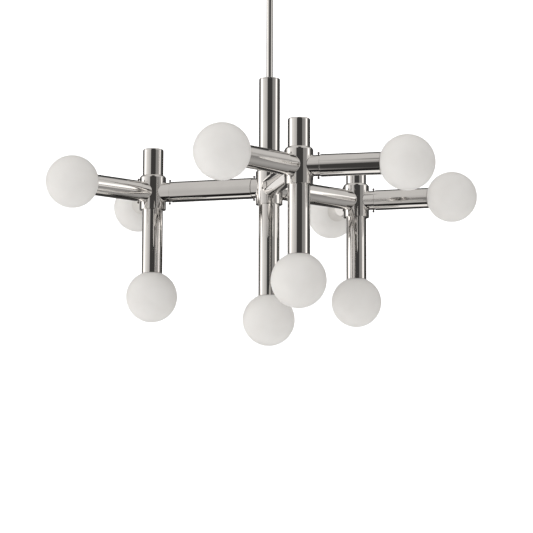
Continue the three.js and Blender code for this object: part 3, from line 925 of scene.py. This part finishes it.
def build():
    centre_top()
    arm_tubes()
    outward = [(hub_axis[side] - hub_axis["centre"]).normalized() for side in OUTER_ARMS]
    hub("centre", outward, CENTRE_BRANCH, CENTRE_SCREW_INSET)
    below = -COLLAR_BOTTOM - POCKET_DEPTH + GAP
    lamp_unit("centre_lower_tube", "centre_lower", "centre", below, CENTRE_DROP)
    for side, arms in OUTER_ARMS.items():
        inward = (hub_axis["centre"] - hub_axis[side]).normalized()
        directions = [inward, *(lamp_axis[arm] for arm in arms)]
        hub(side, directions, SATELLITE_BRANCH, SATELLITE_SCREW_INSET)
        stub_tube(side)
        lamp_unit("lower_tube_" + side, side + "_lower", side, below, SATELLITE_DROP)
        for arm in arms:
            lamp_unit("outer_arm_" + arm, arm, side, SATELLITE_BRANCH, OUTER_REACH)
    stem()
    ball_and_nut()
    canopy()
    canopy_screw("canopy_screw_left")
    canopy_screw("canopy_screw_right")
    ceiling_bracket()
    terminal_block()


build()

# ------------------------------------------------------------------ camera

CAMERA_AT = (-0.9020, -3.9742, -1.2881)   # metres
CAMERA_HEADING = 77.293       # degrees from +X, looking away
CAMERA_PITCH = 6.807          # degrees up
CAMERA_ROLL = 0.2185          # degrees
CAMERA_LENS = 115.57          # millimetres


def camera():
    heading, pitch, roll = (math.radians(a) for a in (CAMERA_HEADING, CAMERA_PITCH, CAMERA_ROLL))
    level = Vector((math.cos(heading), math.sin(heading), 0))
    ahead = level * math.cos(pitch) + Vector((0, 0, math.sin(pitch)))
    right = ahead.cross(Vector((0, 0, 1))).normalized()
    up = right.cross(ahead)
    right, up = (right * math.cos(roll) + up * math.sin(roll),
                 up * math.cos(roll) - right * math.sin(roll))
    data = bpy.data.cameras.new("camera")
    data.lens = CAMERA_LENS
    data.sensor_width = 36
    data.clip_end = 200
    view = bpy.data.objects.new("camera", data)
    turn = Matrix((right, up, -ahead)).transposed().to_4x4()
    view.matrix_world = Matrix.Translation(CAMERA_AT) @ turn
    bpy.context.scene.collection.objects.link(view)
    bpy.context.scene.camera = view


# ------------------------------------------------------------------ studio

FLOOR_Z = -2.4                # metres, as are the other lengths of the studio
FLOOR_HALF = 22
FLOOR_THICKNESS = 0.05
COVE_R = 40
GLOW_NEAR = 5                 # distances between which the floor fades from pale to white
GLOW_FAR = 20
AWAY = Vector((math.cos(math.radians(CAMERA_HEADING)), math.sin(math.radians(CAMERA_HEADING)), 0))


def towards(heading, elevation):
    """Unit vector; the heading is in degrees to the right of the camera, seen from the object."""
    level = math.cos(math.radians(elevation))
    turn = math.radians(CAMERA_HEADING + 180 + heading)
    return Vector((level * math.cos(turn), level * math.sin(turn), math.sin(math.radians(elevation))))


# Each list below holds (degrees, brightness) or, where it is named a share, (degrees, how much of
# the sheet covers what lies behind it). The walls' degrees are to the right of the camera, the
# lean's and the ceiling's are up from level, and the others are away from the sheet's middle.
WALLS = [
    (-180, 0.06), (-126, 0.07), (-117, 0.45), (-103, 0.95), (-98, 2.0), (-88, 2.0), (-82, 1.1),
    (-66, 0.84), (-53, 0.74), (-41, 0.62), (-25, 0.54), (-19, 0.052), (31, 0.052), (35, 0.29),
    (55, 0.29), (66, 0.40), (74, 0.9), (78, 1.45), (90, 1.45), (93, 0.5), (98, 0.28), (104, 0.16),
    (113, 0.07), (180, 0.06),
]
WALL_LEAN = 8.5               # degrees by which the walls' pattern lies further left below eye level
WALL_LEAN_SHARE = [(-90, 1), (-9.6, 1), (9.4, 0), (90, 0)]
CEILING_LIGHT = 0.64
CEILING_SHARE = [(-90, 0), (17, 0), (27, 1), (90, 1)]
CARD_TOWARDS = towards(6, 38)
CARD_LIGHT = 0.04
CARD_SHARE = [(0, 1), (23, 1), (27, 0), (180, 0)]
TABLE_TOWARDS = AWAY * 0.17 - Vector((0, 0, 1))
TABLE_LIGHT = [(0, 1.05), (17, 1.0), (21, 0.015), (180, 0.015)]
TABLE_SHARE = [(0, 1), (42, 1), (50, 0), (180, 0)]
GLOW_TOWARDS = towards(100, -32)
GLOW_LIGHT = [(0, 0.42), (12, 0.36), (24, 0.28), (40, 0.1), (180, 0.1)]
GLOW_SHARE = [(0, 1), (24, 1), (38, 0), (180, 0)]
BACK_TOWARDS = AWAY + Vector((0, 0, 0.12))
BACK_SHARE = [(0, 1), (48, 1), (60, 0), (180, 0)]
WINDOW_TOWARDS = towards(-157, -8)
WINDOW_LIGHT = [(0, 0.95), (15, 0.95), (19, 0.05), (180, 0.05)]
LIGHT_TINT = (1.022, 1.0, 0.975)
RAMP_SCALE = 4.0              # brightest value that a ramp can hold


def ramp(nodes, links, value, stops):
    """Piecewise linear level over a value; each stop is (value, level)."""
    low, high = stops[0][0], stops[-1][0]
    share = nodes.new("ShaderNodeMapRange")
    share.inputs["From Min"].default_value = low
    share.inputs["From Max"].default_value = high
    links.new(value, share.inputs["Value"])
    node = nodes.new("ShaderNodeValToRGB")
    elements = node.color_ramp.elements
    for i, (at, height) in enumerate(stops):
        position = (at - low) / (high - low)
        element = elements[i] if i < 2 else elements.new(position)
        element.position = position
        level = height / RAMP_SCALE
        element.color = (level, level, level, 1)
    links.new(share.outputs["Result"], node.inputs["Fac"])
    return scaled(nodes, links, node.outputs["Color"], RAMP_SCALE)


def math_node(nodes, links, operation, *values):
    node = nodes.new("ShaderNodeMath")
    node.operation = operation
    for i, value in enumerate(values):
        if isinstance(value, (int, float)):
            node.inputs[i].default_value = value
        else:
            links.new(value, node.inputs[i])
    return node.outputs[0]


def scaled(nodes, links, value, factor):
    return math_node(nodes, links, "MULTIPLY", value, factor)


def component(nodes, links, direction, axis):
    node = nodes.new("ShaderNodeVectorMath")
    node.operation = "DOT_PRODUCT"
    node.inputs[1].default_value = axis
    links.new(direction, node.inputs[0])
    return node.outputs["Value"]


def angle_from(nodes, links, direction, axis):
    """Degrees between a direction and an axis."""
    cosine = component(nodes, links, direction, Vector(axis).normalized())
    return scaled(nodes, links, math_node(nodes, links, "ARCCOSINE", cosine), math.degrees(1))


def mixed(nodes, links, share, first, second):
    difference = math_node(nodes, links, "SUBTRACT", second, first)
    return math_node(nodes, links, "MULTIPLY_ADD", share, difference, first)


def studio_world():
    """What the metal mirrors: walls of uneven brightness and a ceiling, and in front of them a dark
    card, a white table with a dark rim, a dim glow low on the right and a window behind the object.
    """
    world = bpy.data.worlds.new("studio")
    bpy.context.scene.world = world
    world.use_nodes = True
    nodes, links = world.node_tree.nodes, world.node_tree.links
    nodes.clear()
    direction = nodes.new("ShaderNodeTexCoord").outputs["Generated"]
    sideways = component(nodes, links, direction, (AWAY.y, -AWAY.x, 0))
    forward = component(nodes, links, direction, -AWAY)
    height = component(nodes, links, direction, (0, 0, 1))
    heading = scaled(nodes, links, math_node(nodes, links, "ARCTAN2", sideways, forward), math.degrees(1))
    elevation = scaled(nodes, links, math_node(nodes, links, "ARCSINE", height), math.degrees(1))
    lean = ramp(nodes, links, elevation, WALL_LEAN_SHARE)
    heading = math_node(nodes, links, "MULTIPLY_ADD", lean, WALL_LEAN, heading)
    light = ramp(nodes, links, heading, WALLS)
    light = mixed(nodes, links, ramp(nodes, links, elevation, CEILING_SHARE), light, CEILING_LIGHT)
    card = angle_from(nodes, links, direction, CARD_TOWARDS)
    light = mixed(nodes, links, ramp(nodes, links, card, CARD_SHARE), light, CARD_LIGHT)
    for middle_of, light_of, share_from, share_of in (
            (TABLE_TOWARDS, TABLE_LIGHT, TABLE_TOWARDS, TABLE_SHARE),
            (GLOW_TOWARDS, GLOW_LIGHT, GLOW_TOWARDS, GLOW_SHARE),
            (WINDOW_TOWARDS, WINDOW_LIGHT, BACK_TOWARDS, BACK_SHARE)):
        sheet = ramp(nodes, links, angle_from(nodes, links, direction, middle_of), light_of)
        share = ramp(nodes, links, angle_from(nodes, links, direction, share_from), share_of)
        light = mixed(nodes, links, share, light, sheet)
    shader = nodes.new("ShaderNodeBackground")
    out = nodes.new("ShaderNodeOutputWorld")
    tinted = nodes.new("ShaderNodeCombineColor")
    for channel, factor in zip(("Red", "Green", "Blue"), LIGHT_TINT):
        links.new(scaled(nodes, links, light, factor), tinted.inputs[channel])
    links.new(tinted.outputs["Color"], shader.inputs["Color"])
    links.new(shader.outputs["Background"], out.inputs["Surface"])


def plain(name, colour, glow, far_glow):
    """Backdrop material: faintly uneven pale paint that glows a little, and more far from the object."""
    material, nodes, links, shader, place = new_material(name)
    paint = noise(nodes, links, place, 1.5, 3)
    links.new(blend_colours(nodes, links, paint, [c * 0.985 for c in colour], colour),
              shader.inputs["Base Color"])
    shader.inputs["Roughness"].default_value = 0.9
    shader.inputs["Emission Color"].default_value = (1, 1, 1, 1)
    distance = nodes.new("ShaderNodeVectorMath")
    distance.operation = "LENGTH"
    links.new(place, distance.inputs[0])
    glow_by_distance = nodes.new("ShaderNodeMapRange")
    links.new(distance.outputs["Value"], glow_by_distance.inputs["Value"])
    for socket, value in (("From Min", GLOW_NEAR), ("From Max", GLOW_FAR),
                          ("To Min", glow), ("To Max", far_glow)):
        glow_by_distance.inputs[socket].default_value = value
    links.new(glow_by_distance.outputs["Result"], shader.inputs["Emission Strength"])
    return material


def only_seen_by_camera(obj):
    obj.visible_diffuse = obj.visible_glossy = False
    obj.visible_transmission = obj.visible_shadow = False


def backdrop():
    """White cove all round, which only the camera sees, and a pale floor."""
    profile = [(0, -COVE_R), *sphere_arc(COVE_R, 0, -87, 87, 24), (0, COVE_R)]
    cove = revolve("backdrop", profile, Matrix.Scale(1, 4), 48)
    cove.data.materials.append(plain("backdrop_white", (0.9, 0.9, 0.9), 1.1, 1.1))
    only_seen_by_camera(cove)
    corners = [(-FLOOR_HALF, -FLOOR_HALF), (FLOOR_HALF, -FLOOR_HALF),
               (FLOOR_HALF, FLOOR_HALF), (-FLOOR_HALF, FLOOR_HALF)]
    floor = prism("floor", corners, FLOOR_Z - FLOOR_THICKNESS, FLOOR_Z, Matrix.Scale(1, 4))
    floor.data.materials.append(plain("floor_paint", (0.88, 0.88, 0.875), 0.33, 0.75))
    floor.visible_glossy = False


def soft_light(name, at, size, power):
    """Soft box that lights the globes but doesn't show in the bright metal."""
    data = bpy.data.lights.new(name, "AREA")
    data.shape = "SQUARE"
    data.size = size
    data.energy = power
    light = bpy.data.objects.new(name, data)
    light.location = at
    light.rotation_euler = (hub_axis["centre"] - Vector(at)).to_track_quat("-Z", "Y").to_euler()
    light.visible_glossy = False
    light.visible_camera = False
    bpy.context.scene.collection.objects.link(light)


camera()
studio_world()
backdrop()
soft_light("key", (-4.0, -2.5, 1.0), 2.5, 41)
soft_light("overhead", (0.3, -1.6, 2.8), 3.0, 25)
soft_light("front", (-0.6, -4.6, -0.4), 2.5, 12)
bpy.context.scene.view_settings.view_transform = "Standard"
